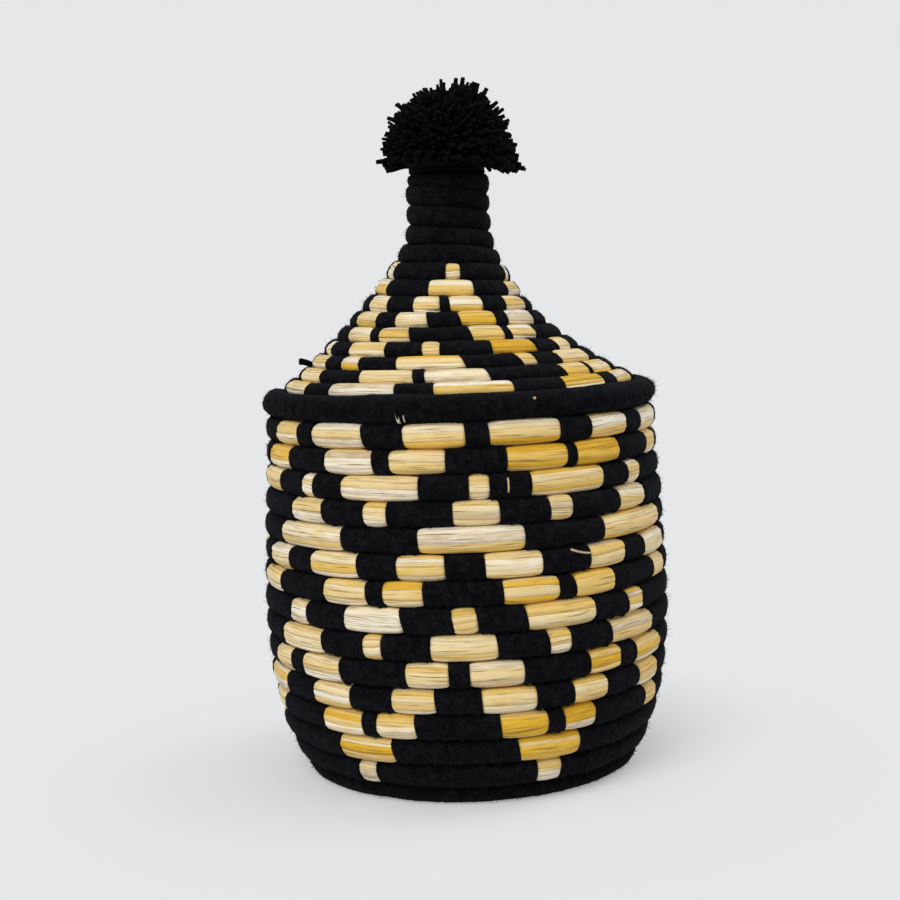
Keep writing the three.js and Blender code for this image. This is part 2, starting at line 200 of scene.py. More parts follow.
class Profile:
    """A line of (radius, height) points, and the courses of a coil laid along it."""

    def __init__(self, corners, pitch_at):
        far = np.concatenate([[0], np.cumsum(np.linalg.norm(np.diff(corners, axis=0), axis=1))])
        even = np.linspace(0, far[-1], round(far[-1] / line_step) + 1)
        self.line = np.stack([np.interp(even, far, corners[:, k]) for k in (0, 1)], axis=-1)
        self.pitch_at = pitch_at
        laid = []
        while math.isfinite(self.place_of(len(laid) / steps_per_course)):
            laid.append(self.place_of(len(laid) / steps_per_course))
        self.places = np.array(laid)

    def at(self, place):
        steps = np.arange(len(self.line))
        return np.stack([np.interp(place, steps, self.line[:, k]) for k in (0, 1)], axis=-1)

    def beyond(self, place, distance):
        """The next place along the line that lies a straight distance from a place on it."""
        if math.isinf(place):
            return place
        before = math.floor(place)
        reach = np.linalg.norm(self.line[before:] - self.at(place), axis=1)
        later = np.nonzero(reach[1:] >= distance)[0]
        if len(later) == 0:
            return math.inf
        k = later[0]
        return before + k + (distance - reach[k]) / (reach[k + 1] - reach[k])

    def place_of(self, course):
        whole = math.floor(course)
        place = (course - whole) * self.beyond(0, self.pitch_at(0))
        for i in range(whole):
            place = self.beyond(place, self.pitch_at(course - whole + i))
        return place

    def course(self, course):
        """The middle of the cord, and the direction in which the next course lies."""
        place = np.interp(course * steps_per_course, np.arange(len(self.places)), self.places)
        reach = self.pitch_at(course) / line_step
        along = self.at(place + reach) - self.at(place - reach)
        return self.at(place), along / np.linalg.norm(along, axis=-1, keepdims=True)


def wall_cord(course):
    return foot_cord_height - cord_height_drop * course


def wall_pitch(course):
    return (wall_cord(course) + wall_cord(course + 1)) / 2 + course_gap


def climbing(turn):
    """Level over the front, up one course over the back. A turn starts at the left."""
    whole = np.floor(turn)
    share = np.clip(2 * (turn - whole), 0, 1)
    return whole + share * share * (3 - 2 * share)


base_height = cord_depth / 2 - stand_cut
foot_pitch = foot_cord_height + course_gap
join_radius = foot_radius - foot_pitch
wall_curve = bezier(
    (foot_radius, base_height),
    (foot_radius + foot_flare[0], base_height + foot_flare[1]),
    (mouth_radius + mouth_taper[0], base_height + wall_rise - mouth_taper[1]),
    (mouth_radius, base_height + wall_rise),
)
above_mouth = wall_curve[-1:] + [[0, line_step]]
wall_line = np.concatenate([[[join_radius, base_height]], wall_curve, above_mouth])
wall_profile = Profile(wall_line, wall_pitch)
wall_courses = (len(wall_profile.places) - 1) // steps_per_course


def end_thickness(profile, course_at, last_turn, turn, height):
    """How thick the end of a coil is, where it lies on the climbing course below it."""
    seat, _ = profile.course(course_at(np.array(last_turn, float)))
    below, _ = profile.course(course_at(turn - 1))
    return np.minimum(height, np.linalg.norm(seat - below, axis=-1) - course_gap)


def end_of(profile, course_at, last_turn, height):
    """The turn at which the tapered end of a coil is cut off."""
    turn = last_turn
    step = 1 / turn_steps
    while end_thickness(profile, course_at, last_turn, np.array(turn + step), height) > tail_thickness:
        turn += step
    return turn


def wall_station(turn):
    """Middle, direction, height and depth of the wall's cord at each turn."""
    course = climbing(np.minimum(turn, wall_courses))
    middle, along = wall_profile.course(course)
    full = wall_cord(course)
    tail = end_thickness(wall_profile, climbing, wall_courses, turn, full)
    thick = np.where(turn > wall_courses, tail, full)
    middle = middle + along * ((full - thick) / 2)[..., None]
    return middle, along, thick + course_gap, cord_depth * (1 + thick / full) / 2


def place(turn, middle, along, up, out):
    """Points of a cord, up and out from its middle in the upright plane of each turn."""
    across = np.stack([along[..., 1], -along[..., 0]], axis=-1)
    spot = middle[..., None, :] + along[..., None, :] * up[..., None]
    spot = spot + across[..., None, :] * out[..., None]
    turn = turn if turn.ndim == up.ndim else turn[..., None] * np.ones(up.shape[-1])
    angle = np.pi - 2 * np.pi * turn
    height = spot[..., 1]
    pressed = base_height - (base_height - height) * foot_press
    height = np.where(height < base_height, np.maximum(pressed, 0), height)
    return np.stack([spot[..., 0] * np.cos(angle), spot[..., 0] * np.sin(angle), height], axis=-1)


def full_round(angle, squareness=cord_squareness):
    """A round section, slightly squared by its neighbours."""
    cos, sin = np.cos(angle), np.sin(angle)
    return np.sign(sin) * np.abs(sin) ** (2 / squareness), np.sign(cos) * np.abs(cos) ** (2 / squareness)


def faces_out(rings):
    """The same rings, taken the other way round where their faces would point inwards."""
    loops = rings - rings.mean(axis=(0, 1))
    ahead = np.roll(loops, -1, axis=1)
    swept = np.cross(ahead[:-1] - loops[1:], loops[:-1] - ahead[1:])
    middles = (loops[:-1] + ahead[:-1] + loops[1:] + ahead[1:]) / 4
    return rings if np.sum(swept * middles) > 0 else rings[:, ::-1]


def build(name, tubes, material, body):
    """One mesh from closed tubes: each is (rings of points, length along at each ring, tone)."""
    corners, faces, along, across, tones = [], [], [], [], []
    start = 0
    for rings, marks, tone in tubes:
        rings = faces_out(rings)
        count, sides = rings.shape[:2]
        corners.append(rings.reshape(-1, 3))
        i, k = np.meshgrid(np.arange(count - 1), np.arange(sides), indexing="ij")
        i, k = i.ravel(), k.ravel()
        after = (k + 1) % sides
        near, far = i * sides, (i + 1) * sides
        quads = np.stack([near + k, near + after, far + after, far + k], axis=1)
        faces.extend((quads + start).tolist())
        along.append(np.stack([marks[i], marks[i], marks[i + 1], marks[i + 1]], axis=1).ravel())
        across.append(np.stack([k, k + 1, k + 1, k], axis=1).ravel() / sides)
        faces.append((start + np.arange(sides))[::-1].tolist())
        faces.append((start + (count - 1) * sides + np.arange(sides)).tolist())
        along.append(np.full(sides, marks[0]))
        along.append(np.full(sides, marks[-1]))
        across.append(np.arange(sides)[::-1] / sides)
        across.append(np.arange(sides) / sides)
        tones.append(np.full(count * sides, tone))
        start += count * sides
    mesh = bpy.data.meshes.new(name)
    mesh.from_pydata((np.concatenate(corners) * METRES).tolist(), [], faces)
    mesh.uv_layers.new(name="winding")
    spots = np.stack([np.concatenate(along), np.concatenate(across)], axis=1)
    mesh.uv_layers["winding"].data.foreach_set("uv", spots.ravel())
    mesh.attributes.new("tone", "FLOAT", "POINT")
    mesh.attributes["tone"].data.foreach_set("value", np.concatenate(tones))
    mesh.polygons.foreach_set("use_smooth", [True] * len(mesh.polygons))
    mesh.materials.append(material)
    mesh.update()
    piece = bpy.data.objects.new(name, mesh)
    bpy.context.scene.collection.objects.link(piece)
    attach(piece, body)
    return piece


# Winding: black wool yarn of two plies, wound tightly round the cord, wrap beside wrap. Every
# few wraps it is sewn through the course below, and it lies a little unevenly, as by hand.
yarn = 1.85
yarn_groove = 0.2
stitch_every = 4  # wraps, where one goes through the course below
stitch_bite = (0.3, 1.5)  # how far a stitch reaches down over that course
stitch_round = 0.4  # how far the stitches show round to the inside
wrap_rings = 3  # of points, in each wrap of yarn
wrap_lean = 0.25
lean_spread = 0.3
wrap_uneven = 0.06
closed_end = 0.72  # share of the cord's size to which the yarn closes in at each end
cord_uneven = 0.2
uneven_every = 8  # wraps, over which the cord swells and thins
cord_sides = 14
turn_samples = 60
least_samples = 8
rng = np.random.default_rng(7)


def along_cord(station, start, end):
    """Turns along a cord and the length up to each, so that what is on it is spaced evenly."""
    turns = np.linspace(start, end, max(least_samples, round((end - start) * turn_samples)))
    radius = station(turns)[0][:, 0]
    pieces = np.diff(turns) * np.pi * (radius[1:] + radius[:-1])
    return turns, np.concatenate([[0], np.cumsum(pieces)])


def winding(station, start, end, squareness=cord_squareness):
    """Yarn wound round the cord from one turn to another, drawn in after every wrap."""
    turns, lengths = along_cord(station, start, end)
    wraps = max(1, round(lengths[-1] / yarn))
    index = np.arange(wraps * wrap_rings + 1)
    turn = np.interp(index / index[-1] * lengths[-1], lengths, turns)
    wrap = index // wrap_rings
    between = index % wrap_rings == 0
    middle, along, height, depth = station(turn)
    swells = rng.normal(0, cord_uneven, wraps // uneven_every + 2)
    uneven = rng.normal(0, wrap_uneven, wraps + 1)[wrap]
    uneven = uneven + np.interp(wrap / uneven_every, range(len(swells)), swells)
    reach = (np.where(between, -yarn_groove, 0) + yarn_groove / 2 + uneven)[:, None]
    angle = np.linspace(0, 2 * np.pi, cord_sides, endpoint=False)
    up_share, out_share = full_round(angle, squareness)
    up = up_share * (height[:, None] / 2 + reach)
    out = out_share * (depth[:, None] / 2 + reach)
    sewn = (wrap % stitch_every == 1) & ~between
    bite = np.where(sewn, rng.uniform(*stitch_bite, wraps + 1)[wrap], 0)
    up = up - bite[:, None] * np.clip(-up_share, 0, 1) ** 2 * np.clip(out_share + stitch_round, 0, 1)
    lean = (wrap_lean + rng.normal(0, lean_spread)) * yarn / (2 * np.pi * middle[:, :1]) * np.sin(angle)
    rings = place(turn[:, None] + lean, middle, along, up, out)
    caps = [
        place(turn[[i]], middle[[i]], along[[i]], up[[i]] * closed_end, out[[i]] * closed_end)
        for i in (0, -1)
    ]
    marks = np.concatenate([[0], index / wrap_rings, [wraps]])
    return np.concatenate([caps[0], rings, caps[1]]), marks, 0.0


# Black wool: dyed a cold black, spun in two plies, matt and hairy. It looks soft and almost
# without shine, and only the twist of the yarn and a few lighter hairs show.
fluff_size = 1.1
felted_patch = 3.8
wool_relief = 0.3
ply_slant = 0.5
wool_sheen = "#8890A8"


def make_wool(name, hex_dark, hex_light, plies_across):
    wool = bpy.data.materials.new(name)
    wool.use_nodes = True
    tree = wool.node_tree
    shader = tree.nodes["Principled BSDF"]
    wound = add_node(tree, "UVMap", {"uv_map": "winding"})
    twist = add_node(
        tree,
        "Mapping",
        None,
        {"Vector": wound.outputs[0], "Scale": (1, plies_across, 1), "Rotation": (0, 0, ply_slant)},
    )
    ply = add_node(
        tree,
        "TexWave",
        {"bands_direction": "Y"},
        {"Vector": twist.outputs[0], "Scale": 0.5, "Distortion": 1.5, "Detail": 2},
    )
    spot = add_node(tree, "TexCoord")
    hair, patch = (
        add_node(
            tree,
            "TexNoise",
            None,
            {"Vector": spot.outputs["Object"], "Scale": 1 / (size * METRES), "Detail": detail},
        )
        for size, detail in ((fluff_size, 4), (felted_patch, 2))
    )
    mottled = add_node(
        tree,
        "Math",
        {"operation": "ADD"},
        {0: patch.outputs["Fac"], 1: hair.outputs["Fac"]},
    )
    uneven = add_node(
        tree,
        "MapRange",
        {"interpolation_type": "SMOOTHSTEP"},
        {"Value": mottled.outputs[0], "From Min": 0.8, "From Max": 1.35},
    )
    shade = add_node(
        tree,
        "Mix",
        {"data_type": "RGBA"},
        {"A": linear(hex_dark), "B": linear(hex_light), "Factor": uneven.outputs[0]},
    )
    tree.links.new(shade.outputs["Result"], shader.inputs["Base Color"])
    rough = add_node(tree, "Math", {"operation": "ADD"}, {0: ply.outputs["Fac"], 1: hair.outputs["Fac"]})
    bump = add_node(
        tree,
        "Bump",
        None,
        {"Height": rough.outputs[0], "Strength": 0.5, "Distance": wool_relief * METRES},
    )
    tree.links.new(bump.outputs[0], shader.inputs["Normal"])
    shader.inputs["Roughness"].default_value = 0.95
    shader.inputs["Specular IOR Level"].default_value = 0.08
    shader.inputs["Sheen Weight"].default_value = 0.04
    shader.inputs["Sheen Roughness"].default_value = 0.5
    shader.inputs["Sheen Tint"].default_value = linear(wool_sheen)
    return wool


wound_wool = make_wool("wound_black_wool", "#030305", "#151519", plies_across=30)

# Bare straw: where the figure is wanted the yarn is left off, and the bundle shows. Its
# outer straws are split flat, lie side by side and slightly askew, and are squeezed under
# the yarn at both ends.
strip_across = np.array([0.0, 0.02, 0.3, 0.7, 0.98, 1.0])
strip_reach = np.array([0.72, 0.95, 1.0, 1.0, 0.95, 0.72])
strip_overlap = 0.06
strip_widths = (0.5, 1.5)  # least and most, as shares of the mean
strip_thickness = (-0.06, 0.025)  # how far a strip lies in or stands proud
strip_ring = 3  # from one ring of points to the next
bundle_skew = 0.09
strip_skew = 0.05
strip_wave = 0.02
wave_length = 5
middle_swell = 0.035
end_margin = 1.6
end_margin_share = 0.35  # at most, of the bare length
end_tuck = 1.0  # how far the straw runs on under the yarn
tucked_squeeze = 0.24
end_squeeze = 0.15
squeeze_reach = 0.45
corner_squeeze = 1.2  # how much further the squeeze reaches next to the other courses
palest_tone = 0.19
ripest_tone = 0.93
tone_spread = 0.15
tone_turn = 1.2  # how quickly the tone changes from the bottom to the top
weathered_share = 0.06
weathered_tone = 0.12


def bare_straw(station, start, end, top, bottom, strips=11):
    """The bundle's strips between two turns, and how ripe they are at its top and bottom."""
    length = along_cord(station, start, end)[1][-1]
    margin = min(end_margin, length * end_margin_share)
    inside = np.linspace(margin, length - margin, max(2, round(length / strip_ring)))
    edge = np.array([-end_tuck, 0.1 * margin, 0.5 * margin])
    spots = np.concatenate([edge, inside, length - edge[::-1]])
    turn = start + (end - start) * spots / length
    middle, along, height, depth = station(turn)
    from_end = np.clip(np.minimum(spots, length - spots), 0, None)[:, None]
    swell = 1 + middle_swell * np.sin(np.pi * np.clip(spots / length, 0, 1))
    widths = rng.uniform(*strip_widths, strips)
    edges = np.concatenate([[0], np.cumsum(widths / widths.sum())]) * 2 * np.pi + rng.uniform(0, 6)
    from_middle = spots / length - 0.5
    skew = rng.normal(0, bundle_skew) * from_middle
    tubes = []
    for left, right in zip(edges[:-1], edges[1:]):
        wave = skew + rng.normal(0, strip_skew) * from_middle
        wave = wave + strip_wave * np.sin(spots / wave_length + rng.uniform(0, 6))
        span = right - left + 2 * strip_overlap
        angle = left - strip_overlap + span * strip_across + wave[:, None]
        up_share, out_share = full_round(angle)
        reach = squeeze_reach + corner_squeeze * np.abs(up_share) ** 6
        squeeze = end_squeeze * np.exp(-from_end / reach)
        squeeze = np.where(np.abs(spots[:, None] - length / 2) > length / 2, tucked_squeeze, squeeze)
        size = strip_reach * (1 + rng.uniform(*strip_thickness)) * (swell[:, None] - squeeze) / 2
        up = up_share * size * height[:, None]
        out = out_share * size * depth[:, None]
        rings = place(turn, middle, along, up, out)
        level = 0.5 + tone_turn * math.sin((left + right) / 2)
        ripeness = bottom + (top - bottom) * min(max(level, 0), 1)
        tone = rng.normal(palest_tone + (ripest_tone - palest_tone) * ripeness, tone_spread)
        if rng.uniform() < weathered_share:
            tone = rng.uniform(0, weathered_tone)
        tubes.append((rings, spots, tone))
    return tubes


# Dry straw: split stalks, from pale cream to golden yellow, with a dull gloss. Long fine
# streaks run along each stalk, and some have darkened to a brown line.
streak_length = 20
streaks_round = 18  # in the skin of one stalk
cloud_length = 6.5
clouds_round = 3
grain_strength = 0.36
cloud_strength = 0.26
straw_relief = 0.5
stalks_apart = 171  # moves the pattern on from stalk to stalk, by its tone
dark_streak = "#86663A"
ripening = [
    (0.0, "#C9B288"),
    (0.2, "#F2EAD6"),
    (0.38, "#E9D5A4"),
    (0.58, "#E2C074"),
    (0.8, "#E2B32C"),
    (1.0, "#CC9C1C"),
]


def make_straw():
    straw = bpy.data.materials.new("split_dry_straw")
    straw.use_nodes = True
    tree = straw.node_tree
    shader = tree.nodes["Principled BSDF"]
    wound = add_node(tree, "UVMap", {"uv_map": "winding"})
    tone = add_node(tree, "Attribute", {"attribute_name": "tone"})
    far_apart = add_node(
        tree,
        "VectorMath",
        {"operation": "SCALE"},
        {0: tone.outputs["Vector"], "Scale": stalks_apart},
    )

    def streaks(length, number, detail):
        long = add_node(
            tree,
            "Mapping",
            None,
            {"Vector": wound.outputs[0], "Scale": (1 / length, number, 1)},
        )
        moved = add_node(
            tree,
            "VectorMath",
            {"operation": "ADD"},
            {0: long.outputs[0], 1: far_apart.outputs["Vector"]},
        )
        noise = {"Vector": moved.outputs[0], "Scale": 1, "Detail": detail}
        return add_node(tree, "TexNoise", None, noise)

    grain = streaks(streak_length, streaks_round, 4)
    cloud = streaks(cloud_length, clouds_round, 1)
    grained, clouded = (
        add_node(
            tree,
            "Math",
            {"operation": "MULTIPLY_ADD"},
            {0: pattern.outputs["Fac"], 1: strength, 2: -strength / 2},
        )
        for pattern, strength in ((grain, grain_strength), (cloud, cloud_strength))
    )
    both = add_node(tree, "Math", {"operation": "ADD"}, {0: grained.outputs[0], 1: clouded.outputs[0]})
    shade = add_node(tree, "Math", {"operation": "ADD"}, {0: both.outputs[0], 1: tone.outputs["Fac"]})
    colours = add_node(tree, "ValToRGB", None, {"Fac": shade.outputs[0]})
    ramp = colours.color_ramp.elements
    ramp.remove(ramp[-1])
    ramp[0].color = linear(ripening[0][1])
    for position, colour in ripening[1:]:
        ramp.new(position).color = linear(colour)
    dark_line = add_node(
        tree,
        "MapRange",
        None,
        {"Value": grain.outputs["Fac"], "From Min": 0.57, "From Max": 0.67, "To Max": 0.9},
    )
    streaked = add_node(
        tree,
        "Mix",
        {"data_type": "RGBA"},
        {"A": colours.outputs["Color"], "B": linear(dark_streak), "Factor": dark_line.outputs[0]},
    )
    tree.links.new(streaked.outputs["Result"], shader.inputs["Base Color"])
    bump = add_node(
        tree,
        "Bump",
        None,
        {"Height": grain.outputs["Fac"], "Strength": 0.6, "Distance": straw_relief * METRES},
    )
    tree.links.new(bump.outputs[0], shader.inputs["Normal"])
    shader.inputs["Roughness"].default_value = 0.55
    shader.inputs["Specular IOR Level"].default_value = 0.3
    return straw


dry_straw = make_straw()

# Figure of the wall: three rows of chevrons, seven times round, where the yarn is left off.
# Each entry is a course, from the foot up. Its bare stretches are given as seen in front: from
# and to, in degrees to the right, and how golden the straw is at the top and at the bottom.
wall_repeats = 7
wall_figure = [
    [],
    [(-37, -30.5, 0.1, 0.2), (19.5, 27.5, 0.3, 0.25)],
    [(-41.5, -23, 0.5, 0.55), (13.5, 32.5, 0.95, 0.5)],
    [(-84, -69, 0.45, 0.4), (-46, -31.5, 0.55, 0.3), (-27, -15.5, 0.5, 0.2), (8, 21.5, 0.7, 0.6),
     (26.5, 37, 0.9, 0.4), (60.5, 69.5, 0.45, 0.45)],
    [(-81.5, -63, 0.3, 0.25), (-48.5, -34.5, 0.4, 0.35), (-21.5, -9.5, 0.5, 0.2), (3, 18, 0.65, 0.3),
     (29, 40.5, 0.55, 0.6), (55.5, 67.5, 0.35, 0.3)],
    [(-68.5, -58, 0.3, 0.3), (-52, -37, 0.25, 0.35), (-17, -5.5, 0.2, 0.45), (0, 14.5, 0.2, 0.3),
     (34, 45.5, 0.6, 0.5), (52.5, 68.5, 0.65, 0.4)],
    [(-62, -43, 0.25, 0.3), (-29, -23.5, 0.4, 0.3), (-10, 7.5, 0.25, 0.45), (21.5, 28, 0.4, 0.35),
     (41.5, 61.5, 0.35, 0.4)],
    [(-56.5, -48.5, 0.3, 0.2), (-34.5, -17.5, 0.15, 0.1), (-4, 2.5, 0.5, 0.4), (15.5, 36, 0.75, 0.3),
     (48.5, 56, 0.7, 0.6)],
    [(-78, -62.5, 0.3, 0.2), (-41.5, -27.5, 0.4, 0.15), (-22.5, -11.5, 0.65, 0.2), (9.5, 25, 0.6, 0.35),
     (30, 43.5, 0.7, 0.4), (64, 74.5, 0.5, 0.5)],
    [(-70.5, -57, 0.25, 0.3), (-46.5, -30, 0.35, 0.4), (-18.5, -5.5, 0.35, 0.2), (5, 20.5, 0.3, 0.35),
     (35, 48.5, 0.4, 0.4), (58.5, 75.5, 0.35, 0.35)],
    [(-61.5, -35, 0.2, 0.6), (-12.5, 16, 0.2, 0.85), (40.5, 72, 0.35, 0.75)],
    [(-55.5, -42, 0.5, 0.2), (-28, -21, 0.4, 0.1), (-3, 9.5, 0.3, 0.35), (23.5, 30.5, 0.35, 0.35),
     (48, 61.5, 0.4, 0.4)],
    [(-83.5, -63, 0.2, 0.3), (-50.5, -45.5, 0.3, 0.3), (-35, -12, 0.3, 0.35), (1.5, 7, 0.55, 0.35),
     (18.5, 42, 0.75, 0.35), (53, 59.5, 0.3, 0.3)],
    [(-74, -57.5, 0.6, 0.25), (-41, -25, 0.55, 0.15), (-20, -4.5, 0.5, 0.2), (12, 30, 0.95, 0.6),
     (33, 49.5, 1, 0.85), (66, 77, 0.4, 0.4)],
    [(-66.5, -53, 0.35, 0.3), (-46, -28, 0.1, 0.15), (-16, 1, 0.15, 0.35), (7.5, 28, 0.35, 0.45),
     (38.5, 54, 0.4, 0.4), (62.5, 83, 0.25, 0.3)],
]
back_from = 90  # degrees from the middle of the front
first_bare = 0.02  # of a turn, from the start of the cord
least_wound = 0.003  # of a turn, between two bare stretches


def turn_of(course, degrees):
    return course - 1 + (270 - degrees) / 360


def figure_turns(course, front, repeats):
    """The bare stretches as turns: as read in front, and evenly repeated round the back."""
    step = 360 / repeats
    middles = [(start + end) / 2 for start, end, _, _ in front]
    each = 0
    if front:
        each = max(1, round(step * (len(front) - 1) / (max(middles) - min(middles))))
    unit = sorted(front, key=lambda bar: abs(bar[0] + bar[1]))[:each]
    bars = list(front)
    for copy in range(1, repeats):
        for start, end, top, bottom in unit:
            middle = (start + end) / 2 + copy * step
            if back_from < middle < 360 - back_from:
                shift = copy * step - (360 if middle > 180 else 0)
                bars.append((start + shift, end + shift, top, bottom))
    return [
        (turn_of(course, end), turn_of(course, start), top, bottom) for start, end, top, bottom in bars
    ]


def whole_figure(figure, repeats, last):
    """All bare stretches of a coil in order, without those that touch the one before."""
    every = sorted(bar for i, front in enumerate(figure) for bar in figure_turns(i + 1, front, repeats))
    kept = []
    for bar in every:
        apart = not kept or bar[0] - kept[-1][1] > least_wound
        if apart and bar[0] > first_bare and bar[1] < last:
            kept.append(bar)
    return kept


def wound_stretches(start, end, bars):
    """The wound stretches between the bare ones."""
    edges = [start] + [edge for bar in bars for edge in bar[:2]] + [end]
    return list(zip(edges[0::2], edges[1::2]))


wall_end = end_of(wall_profile, climbing, wall_courses, wall_cord(wall_courses))
wall_bars = whole_figure(wall_figure, wall_repeats, wall_courses)
wall_wound = wound_stretches(0.0, wall_end, wall_bars)
thirds = [(0, 5), (5, 10), (10, math.inf)]
for number, (low, high) in enumerate(thirds):
    tubes = [winding(wall_station, *s) for s in wall_wound if low <= s[0] < high]
    piece = build(f"wall_winding_{number + 1}", tubes, wound_wool, "basket")
    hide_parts("wall_coil")
    tubes = sum((bare_straw(wall_station, *bar) for bar in wall_bars if low <= bar[0] < high), [])
    build(f"wall_straw_{number + 1}", tubes, dry_straw, "basket")

# Base: the same cord as a flat spiral, wound all over. It starts thin and tightly curled at
# the centre and ends level under the wall, and its underside is pressed flat.
base_slack = 0.95
base_pitch = foot_pitch + base_slack
steady_lead = 0.25  # turns by which a steady rise is ahead of a level front, on average
base_turns = (join_radius - base_pitch / 2) / base_pitch + steady_lead
centre_bore = 0.3
centre_tip = 1.6
base_start = -base_turns - (base_pitch - centre_bore - centre_tip) / base_pitch


def mixed(turn, level_share):
    """Between a coil that is level over the front and one that rises steadily all round."""
    return level_share * climbing(turn) + (1 - level_share) * (turn + steady_lead)


def base_station(turn):
    level_share = np.clip(1 + turn / base_turns, 0, 1)
    radius = join_radius + np.minimum(0, mixed(turn, level_share)) * base_pitch
    outer = radius + base_pitch / 2
    inner = np.maximum(outer - base_pitch, centre_bore)
    middle = np.stack([(inner + outer) / 2, np.full_like(radius, base_height)], axis=-1)
    along = np.stack([np.ones_like(radius), np.zeros_like(radius)], axis=-1)
    return middle, along, outer - inner, cord_depth * (1 + (outer - inner) / base_pitch) / 2


base_tubes = [winding(base_station, base_start, 0.0)]
base = build("base_winding", base_tubes, wound_wool, "basket")
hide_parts("base_coil")

# Loose hairs: wool fibres that have worked out of the yarn. Most are a short fuzz all over
# the outside, which softens its outline, and a few are long and bent.
hair_radius = 0.11
hair_sides = 3
short_hair = (2.0, 0.36)  # shape and scale of the lengths
long_hair = (4.0, 0.5)
longest_hair = 3
long_hair_rings = 4
hair_lean = 0.8  # along the cord
hair_stray = 0.35
hair_curl = 0.5
hair_root = 0.98  # share of the cord's size at which a hair leaves it
hair_tip = 0.3  # share of its thickness
outer_side = (-1.8, 1.8)  # radians round the cord, from straight out
slanting = [0.36, 0.48, 0.8]


def loose_hairs(station, wound, count, lengths=short_hair, rings=2, facing=outer_side):
    """Thin pointed tubes at random places on the outer side of the wound stretches."""
    radii = [station(np.array([(start + end) / 2]))[0][0, 0] for start, end in wound]
    sizes = np.array([(end - start) * radius for (start, end), radius in zip(wound, radii)])
    chosen = rng.choice(len(wound), count, p=sizes / sizes.sum())
    ends = np.array(wound)[chosen]
    turn = ends[:, 0] + (ends[:, 1] - ends[:, 0]) * rng.uniform(0, 1, count)
    middle, along, height, depth = station(turn)
    angle = rng.uniform(*facing, count)
    up_share, out_share = full_round(angle)
    length = np.minimum(rng.gamma(*lengths, count), longest_hair)
    heading = np.stack([rng.normal(0, hair_lean, count), np.sin(angle), np.cos(angle)])
    heading = heading + rng.normal(0, hair_stray, (3, count))
    heading /= np.linalg.norm(heading, axis=0)
    curl = rng.uniform(-hair_curl, hair_curl, (3, count))
    share = np.linspace(0, 1, rings)
    path = length * (heading * share[:, None, None] + curl * share[:, None, None] ** 2)
    up = (up_share * height / 2 * hair_root + path[:, 1]).T
    out = (out_share * depth / 2 * hair_root + path[:, 2]).T
    turns = (turn + path[:, 0] / (2 * np.pi * middle[:, 0])).T
    points = place(turns, middle, along, up, out)
    leaning = points[:, -1] - points[:, 0]
    side = np.cross(leaning, slanting)
    side /= np.linalg.norm(side, axis=1, keepdims=True)
    over = np.cross(leaning, side)
    over /= np.linalg.norm(over, axis=1, keepdims=True)
    around = np.arange(hair_sides) * 2 * np.pi / hair_sides
    spread = side[:, None] * np.cos(around)[:, None] + over[:, None] * np.sin(around)[:, None]
    width = hair_radius * np.linspace(1, hair_tip, rings)[:, None, None]
    tubes = points[:, :, None] + spread[:, None] * width
    tubes[..., 2] = np.maximum(tubes[..., 2], 0)
    return [(tube, share * 2, 0.0) for tube in tubes]


wall_fuzz = 22000
wall_long_hairs = 300
for number in (1, 2):
    hairs = loose_hairs(wall_station, wall_wound, wall_fuzz)
    hairs += loose_hairs(wall_station, wall_wound, wall_long_hairs, long_hair, long_hair_rings)
    build(f"basket_loose_hairs_{number}", hairs, wound_wool, "basket")

# Lid: a thinner cord of the same make, coiled into a flared cone that runs on into an
# open neck. It starts beside the rim and ends level at the top of the neck. The lid was
# shaped by hand, and its cone and neck stand a little to the left of its rim.
rim_cord = 12.8
lid_cord_height = 9.05
lid_cord_depth = 9.8
lid_turn_slack = 0.4
lid_level_turns = 7
rim_handle = (47, 27)
cone_rise = 87.6
neck_handle = 20.3
neck_radius = 16.1
neck_rise = 18.5
neck_lean = 2.4  # how far the neck stands to the left of the rim's middle
cone_lean = 3.6  # how much further the cone does, halfway up
lean_start = 0.33  # share of the cone's rise in which the lean begins
seat_gap = 0.3
top_cord = wall_cord(wall_courses)
mouth_middle, _ = wall_profile.course(np.array(float(wall_courses)))
rim_height = mouth_middle[1] + top_cord / 2 + seat_gap + rim_cord / 2
neck_foot = rim_height + cone_rise
lid_pitch = lid_cord_height + course_gap + lid_turn_slack
rim_pitch = rim_cord / 2 + lid_cord_height / 2 + course_gap


def lid_pitch_at(course):
    share = np.minimum(course, 1)
    return rim_pitch + (lid_pitch - rim_pitch) * share


lid_curve = bezier(
    (mouth_middle[0], rim_height),
    (mouth_middle[0] - rim_handle[0], rim_height + rim_handle[1]),
    (neck_radius, neck_foot - neck_handle),
    (neck_radius, neck_foot),
)
lid_profile = Profile(np.concatenate([lid_curve, lid_curve[-1:] + [[0, neck_rise]]]), lid_pitch_at)


def lean_at(height):
    """How far the lid stands to the left of its rim's middle at a height."""
    share = np.clip((height - rim_height) / cone_rise, 0, 1)
    start = np.clip(share / lean_start, 0, 1)
    return neck_lean * start * start * (3 - 2 * start) + cone_lean * np.sin(np.pi * share) ** 2


def leaned(tubes):
    for rings, _, _ in tubes:
        rings[..., 0] -= lean_at(rings[..., 2])
    return tubes


def lid_turn(turn):
    return mixed(turn, np.maximum(0, 1 - turn / lid_level_turns))


last_step = 1
while math.isfinite(lid_profile.place_of(float(lid_turn((last_step + 1) / turn_steps)))):
    last_step += 1
neck_turn = last_step / turn_steps


